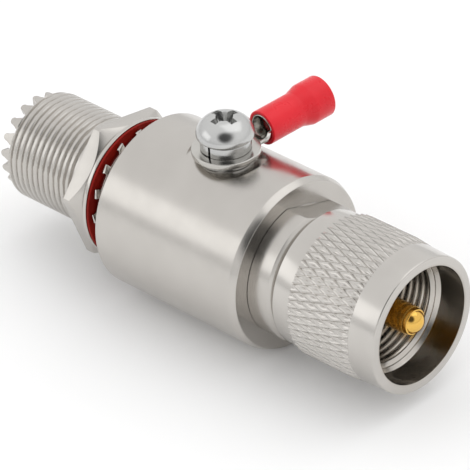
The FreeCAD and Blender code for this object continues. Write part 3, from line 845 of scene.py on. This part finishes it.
def screw_piece():
    """Pan head screw with a cross recess and a threaded shank."""
    top = HEAD_Z + HEAD_H
    steepest = math.asin((HEAD_R - HEAD_FLAT_R) / HEAD_CROWN)
    crown = []
    for k in range(HEAD_STEPS + 1):
        a = steepest * (1 - k / HEAD_STEPS)
        crown.append((top - HEAD_CROWN * (1 - math.cos(a)), HEAD_FLAT_R + HEAD_CROWN * math.sin(a)))
    crown.append((top, 0.0))
    end = SCREW_LOW.z
    rows = threaded_rows(end + SCREW_PLAIN, HEAD_Z - SCREW_PLAIN, SCREW_PITCH, SCREW_ROWS)

    def section(turn):
        shank = [(end, 0.0), (end, SCREW_END_R)]
        for z in rows:
            depth = SCREW_THREAD_DEPTH * thread_depth(z / SCREW_PITCH - turn / TURN)
            shank.append((z, SCREW_R - depth))
        head = eased([
            (HEAD_Z, SCREW_TOP_R),
            (HEAD_Z, HEAD_BASE_R),
            (HEAD_Z + HEAD_EDGE_LOW, HEAD_R),
            crown[0],
        ], HEAD_EASE, False)
        return shank + head + crown[1:]

    screw = spun("ground_screw_dress", section, 144, False, "Z", SCREW_AXIS)
    over, shoulder, floor = top + RECESS_OVER, top - RECESS_DEPTH / 3, top - RECESS_DEPTH
    side = [
        (-RECESS_HALF, over),
        (-RECESS_HALF * RECESS_SHOULDER, shoulder),
        (-RECESS_FLOOR_HALF, floor),
        (RECESS_FLOOR_HALF, floor),
        (RECESS_HALF * RECESS_SHOULDER, shoulder),
        (RECESS_HALF, over),
    ]
    layers = []
    for half_w in (-RECESS_W / 2, RECESS_W / 2):
        layers.append([(x, half_w * (RECESS_FLOOR_SHARE if z == floor else 1), z) for x, z in side])
    for turn in (RECESS_TURN, RECESS_TURN + TURN / 4):
        place = SCREW_AXIS @ Matrix.Rotation(turn, 4, "Z")
        carved(screw, prism("wing", *layers, place))
    cone = [(floor, 0), (floor, RECESS_CONE_LOW), (over, RECESS_CONE_TOP), (over, 0)]
    return carved(screw, lathe("cone", cone, CUT_EASE, False, 48, "Z", SCREW_AXIS))


def split_washer_piece():
    """Spring washer whose cut ends stand a little apart."""
    start = SPLIT_ANGLE + SPLIT_HALF_GAP
    end = SPLIT_ANGLE + TURN - SPLIT_HALF_GAP

    def section(turn):
        share = (turn - start) / (end - start)
        lift = SPLIT_RISE * (share - 0.5)
        low = SPLIT_LOW.z + SPLIT_RISE / 2 + lift
        high = HEAD_Z - SPLIT_RISE / 2 + lift
        corners = [(low, WASHER_BORE_R), (low, SPLIT_R), (high, SPLIT_R), (high, WASHER_BORE_R)]
        return eased(corners, SPLIT_EASE)

    return spun("split_washer_dress", section, 128, True, "Z", SCREW_AXIS, (start, end))


def flat_washer_piece():
    """Plain washer on the seat."""
    return lathe("flat_washer_dress", [
        (FLAT_LOW.z, WASHER_BORE_R),
        (FLAT_LOW.z, FLAT_WASHER_R),
        (FLAT_HIGH.z, FLAT_WASHER_R),
        (FLAT_HIGH.z, WASHER_BORE_R),
    ], FLAT_EASE, True, 144, "Z", SCREW_AXIS)


def terminal_place():
    """Frame of the terminal: +Y from the screw, then the crimp's tilt."""
    yaw = SCREW_AXIS @ Matrix.Rotation(TERMINAL_YAW, 4, "Z")
    shift = Matrix.Translation((0, CRIMP_START, CRIMP_Z))
    return yaw, yaw @ shift @ Matrix.Rotation(TERMINAL_TILT, 4, "X")


def terminal_piece():
    """Ring, curling tongue and crimp barrel, stamped from one sheet."""
    yaw, crimp_place = terminal_place()
    ring = lathe("ring", [
        (SHEET_LOW, WASHER_BORE_R),
        (SHEET_LOW, RING_R),
        (SHEET_HIGH, RING_R),
        (SHEET_HIGH, WASHER_BORE_R),
    ], RING_EASE, True, 144, "Z", yaw)
    crimp = lathe("crimp", [
        (CRIMP_MOUTH, CRIMP_MOUTH_R - CRIMP_EDGE),
        (CRIMP_MOUTH, CRIMP_MOUTH_R),
        (CRIMP_MOUTH + CRIMP_LEAD, CRIMP_R),
        (CRIMP_LEN, CRIMP_R),
        (CRIMP_LEN, CRIMP_BORE_R),
        (CRIMP_MOUTH + CRIMP_MOUTH_WALL, CRIMP_BORE_R),
    ], CRIMP_EASE, True, 96, "Y", crimp_place)
    return joined("ring_terminal_dress", [ring, tongue_piece(yaw), crimp])


def tongue_piece(yaw):
    """Sheet that leaves the ring flat and curls up into the crimp barrel."""
    mid_z = (SHEET_LOW + SHEET_HIGH) / 2
    mid_r = CRIMP_MOUTH_R - CRIMP_EDGE
    start, end = RING_R - RING_OVERLAP, CRIMP_START + CRIMP_OVERLAP
    across, along = TONGUE_ACROSS, TONGUE_ALONG
    rows = []
    for i in range(along + 1):
        share = i / along
        curl = max(0.0, (share - TONGUE_FLAT_SHARE) / (1 - TONGUE_FLAT_SHARE))
        curl = curl * curl * (3 - 2 * curl)
        y = start + (end - start) * share
        half_angle = CURL * curl
        half_width = TONGUE_HALF + (mid_r * CURL - TONGUE_HALF) * curl
        lift = (CRIMP_Z - mid_r - mid_z) * curl
        row = []
        for k in range(across + 1):
            s = 2 * k / across - 1
            if half_angle < TONGUE_FLAT_ANGLE:
                row.append((s * half_width, y, mid_z + lift))
            else:
                bend = half_width / half_angle
                a = s * half_angle
                row.append((bend * math.sin(a), y, mid_z + lift + bend * (1 - math.cos(a))))
        rows.append(row)
    verts = [p for row in rows for p in row]
    size = across + 1
    faces = []
    for i in range(along):
        for k in range(across):
            a = i * size + k
            faces.append((a, a + 1, a + size + 1, a + size))
    sheet = mesh_piece("tongue", verts, faces, yaw)
    solid = sheet.modifiers.new("sheet", "SOLIDIFY")
    solid.thickness = (SHEET_HIGH - SHEET_LOW) * TONGUE_THIN * MM
    solid.offset = 0
    solid.use_even_offset = True
    return bevelled(applied(sheet), TONGUE_BEVEL)


def sleeve_piece():
    """Vinyl sleeve, flared over the wire's end."""
    place = terminal_place()[1]
    end = SLEEVE_START + SLEEVE_LEN
    a, b = SLEEVE_START + FLARE_START, SLEEVE_START + FLARE_END
    bore = CRIMP_R + SLEEVE_CLEAR
    outline = [
        (SLEEVE_START, CRIMP_MOUTH_R + SLEEVE_CLEAR),
        (SLEEVE_START, SLEEVE_R),
        (a, SLEEVE_R),
        (b, SLEEVE_FLARE_R),
        (end, SLEEVE_FLARE_R),
        (end, SLEEVE_FLARE_R - SLEEVE_WALL),
        (b, SLEEVE_FLARE_R - SLEEVE_WALL),
        (a, bore),
        (SLEEVE_START + SLEEVE_LIP, bore),
    ]
    return lathe("terminal_sleeve_dress", outline, SLEEVE_EASE, True, 128, "Y", place)


PIECES = [
    (housing_piece, satin_nickel, "arrestor", "nickel", "main_housing"),
    (nut_piece, satin_nickel, "panel_nut", "nickel", "mounting_nut"),
    (lock_washer_piece, bright_nickel, "panel_washer", "zinc_steel", "lock_washer"),
    (gasket_piece, red_rubber, "panel_washer", "red_rubber", "panel_gasket"),
    (backing_piece, bright_nickel, "panel_washer", "zinc_steel", "backing_washer"),
    (male_piece, satin_nickel, "arrestor", "nickel", "male_body"),
    (coupling_piece, grip_nickel_painted_highlight, "coupling", "nickel", "coupling_nut"),
    # The captive nut's inside gets the darker nickel, painted shade
    (coupling_bore_piece, bore_nickel_painted_shade, "coupling", "nickel", "coupling_nut"),
    (pin_piece, gold_plate, "arrestor", "gold", "centre_pin"),
    (screw_piece, zinc_steel, "screw", "zinc_steel", "ground_screw"),
    (split_washer_piece, zinc_steel, "spring_washer", "zinc_steel", "split_washer"),
    (flat_washer_piece, zinc_steel, "arrestor", "zinc_steel", "flat_washer"),
    (terminal_piece, tinned_copper, "terminal", "tinned_copper", "ring_terminal"),
    (sleeve_piece, red_vinyl, "terminal", "red_vinyl", "terminal_sleeve"),
]
for make, material, body, slot, node in PIECES:
    sharp = FLATS_SHARP if node == "male_body" else SMOOTH_UNDER
    dressed(make(), material, body, node, sharp)

# Solids shown as they are: mostly hidden, so they only get a material
CARRIED = {
    "retaining_ring": bronze,
    "male_insulator": white_ptfe,
    "female_insulator": white_ptfe,
    "centre_conductor": bronze,
    "socket_contact": gold_plate,
    "gas_tube_ceramic": ceramic,
    "gas_tube_inner_electrode": bright_nickel,
    "gas_tube_outer_electrode": bright_nickel,
    "gas_tube_clip": bronze,
}
for node, material in CARRIED.items():
    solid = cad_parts[node]
    for slot in solid.material_slots:
        slot.material = material


# Camera at the photograph's angle

AZIMUTH = math.radians(45.40)
ELEVATION = math.radians(33.14)
ROLL = math.radians(-3.14)
DISTANCE = 545.5
AIM_RIGHT = 3.33
AIM_UP = -1.63
CENTRE_X = 10.0
FOCAL_PX = 4000.0
IMAGE_PX = 470.0
SENSOR_WIDTH = 36.0
NEAREST = 0.01

# Studio

TENT_STRENGTH = 1.06
OPENING_RAISED = math.radians(8)
OPENING_INNER = math.radians(20)
OPENING_OUTER = math.radians(33)
OPENING_DARK = 0.08
HORIZON_DIM = 0.8
HORIZON_TOP = 0.3
FLOOR_HALF = 3.0

# Lamps: direction from the object, distance and size in metres, power in watts
LAMPS = {
    "key": ((-0.60, -0.71, 0.37), 0.75, (0.5, 0.3), 0.24),
    "top": ((0.15, 0.35, 0.93), 0.9, (0.8, 0.8), 0.9),
}


def view_direction(raised=0.0):
    """Direction from the object to the camera, or to a point above it."""
    level, rise = math.cos(ELEVATION + raised), math.sin(ELEVATION + raised)
    return Vector((math.sin(AZIMUTH) * level, -math.cos(AZIMUTH) * level, rise))


def set_camera():
    """Put the camera where the photograph was taken from."""
    back = view_direction()
    level = Vector((math.cos(AZIMUTH), math.sin(AZIMUTH), 0))
    rise = back.cross(level)
    right = level * math.cos(ROLL) + rise * math.sin(ROLL)
    up = rise * math.cos(ROLL) - level * math.sin(ROLL)
    place = back * DISTANCE + right * AIM_RIGHT + up * AIM_UP + Vector((CENTRE_X, 0, 0))
    data = bpy.data.cameras.new("camera")
    data.sensor_width = SENSOR_WIDTH
    data.lens = FOCAL_PX * SENSOR_WIDTH / IMAGE_PX
    data.clip_start = NEAREST
    camera = bpy.data.objects.new("camera", data)
    camera.matrix_world = Matrix((
        (right.x, up.x, back.x, place.x * MM),
        (right.y, up.y, back.y, place.y * MM),
        (right.z, up.z, back.z, place.z * MM),
        (0, 0, 0, 1),
    ))
    bpy.context.scene.collection.objects.link(camera)
    bpy.context.scene.camera = camera


def set_world():
    """White light tent, with the dark opening that the photographer stood in."""
    world = bpy.data.worlds.new("studio")
    bpy.context.scene.world = world
    world.use_nodes = True
    tree = world.node_tree
    tent = tree.nodes["Background"]
    tent.inputs["Color"].default_value = (1, 1, 1, 1)
    tent.inputs["Strength"].default_value = TENT_STRENGTH
    seen = tree.nodes.new("ShaderNodeBackground")
    seen.inputs["Strength"].default_value = 1.0
    path = tree.nodes.new("ShaderNodeLightPath")
    toward = tree.nodes.new("ShaderNodeVectorMath")
    toward.operation = "DOT_PRODUCT"
    toward.inputs[1].default_value = view_direction(OPENING_RAISED)
    where = tree.nodes.new("ShaderNodeTexCoord").outputs["Generated"]
    tree.links.new(where, toward.inputs[0])
    opening = tree.nodes.new("ShaderNodeMapRange")
    opening.inputs["From Min"].default_value = math.cos(OPENING_OUTER)
    opening.inputs["From Max"].default_value = math.cos(OPENING_INNER)
    opening.inputs["To Min"].default_value = 1.0
    opening.inputs["To Max"].default_value = OPENING_DARK
    tree.links.new(toward.outputs["Value"], opening.inputs["Value"])
    height = tree.nodes.new("ShaderNodeSeparateXYZ")
    tree.links.new(where, height.inputs["Vector"])
    horizon = tree.nodes.new("ShaderNodeMapRange")
    horizon.inputs["From Min"].default_value = 0.0
    horizon.inputs["From Max"].default_value = HORIZON_TOP
    horizon.inputs["To Min"].default_value = HORIZON_DIM
    horizon.inputs["To Max"].default_value = 1.0
    tree.links.new(height.outputs["Z"], horizon.inputs["Value"])
    shade = tree.nodes.new("ShaderNodeMath")
    shade.operation = "MULTIPLY"
    tree.links.new(opening.outputs["Result"], shade.inputs[0])
    tree.links.new(horizon.outputs["Result"], shade.inputs[1])
    white = maximum(tree, shade.outputs["Value"], path.outputs["Is Camera Ray"])
    tree.links.new(white, seen.inputs["Color"])
    direct = maximum(tree, path.outputs["Is Camera Ray"], path.outputs["Is Glossy Ray"])
    clear = maximum(tree, direct, path.outputs["Is Transmission Ray"])
    mix = tree.nodes.new("ShaderNodeMixShader")
    tree.links.new(clear, mix.inputs["Fac"])
    tree.links.new(tent.outputs["Background"], mix.inputs[1])
    tree.links.new(seen.outputs["Background"], mix.inputs[2])
    tree.links.new(mix.outputs["Shader"], tree.nodes["World Output"].inputs["Surface"])


def maximum(tree, a, b):
    """The larger of two values."""
    node = tree.nodes.new("ShaderNodeMath")
    node.operation = "MAXIMUM"
    tree.links.new(a, node.inputs[0])
    tree.links.new(b, node.inputs[1])
    return node.outputs["Value"]


def soft_box(name, toward, distance, size, power):
    """Rectangular lamp that faces the object."""
    data = bpy.data.lights.new(name, "AREA")
    data.shape = "RECTANGLE"
    data.size, data.size_y = size
    data.energy = power
    lamp = bpy.data.objects.new(name, data)
    direction = Vector(toward).normalized()
    lamp.location = direction * distance + Vector((CENTRE_X * MM, 0, 0))
    lamp.rotation_euler = direction.to_track_quat("Z", "Y").to_euler()
    bpy.context.scene.collection.objects.link(lamp)


def set_floor():
    """Plain pale floor that the object lies on."""
    z = -BODY_R * MM
    signs = ((-1, -1), (1, -1), (1, 1), (-1, 1))
    corners = [(x * FLOOR_HALF, y * FLOOR_HALF, z) for x, y in signs]
    mesh = bpy.data.meshes.new("floor")
    mesh.from_pydata(corners, [], [(0, 1, 2, 3)])
    floor = bpy.data.objects.new("floor", mesh)
    bpy.context.scene.collection.objects.link(floor)
    material, tree, shader, where = node_material("pale_floor")
    drift = spread(tree, noise(tree, where, 3), 0, 1)
    colour = tinted(tree, drift, (0.93, 0.93, 0.93), (0.95, 0.95, 0.95))
    tree.links.new(colour, shader.inputs["Base Color"])
    shader.inputs["Roughness"].default_value = 0.9
    shader.inputs["Specular IOR Level"].default_value = 0.1
    mesh.materials.append(material)


set_camera()
set_world()
for name, lamp in LAMPS.items():
    soft_box(name, *lamp)
set_floor()
bpy.context.scene.view_settings.view_transform = "Standard"
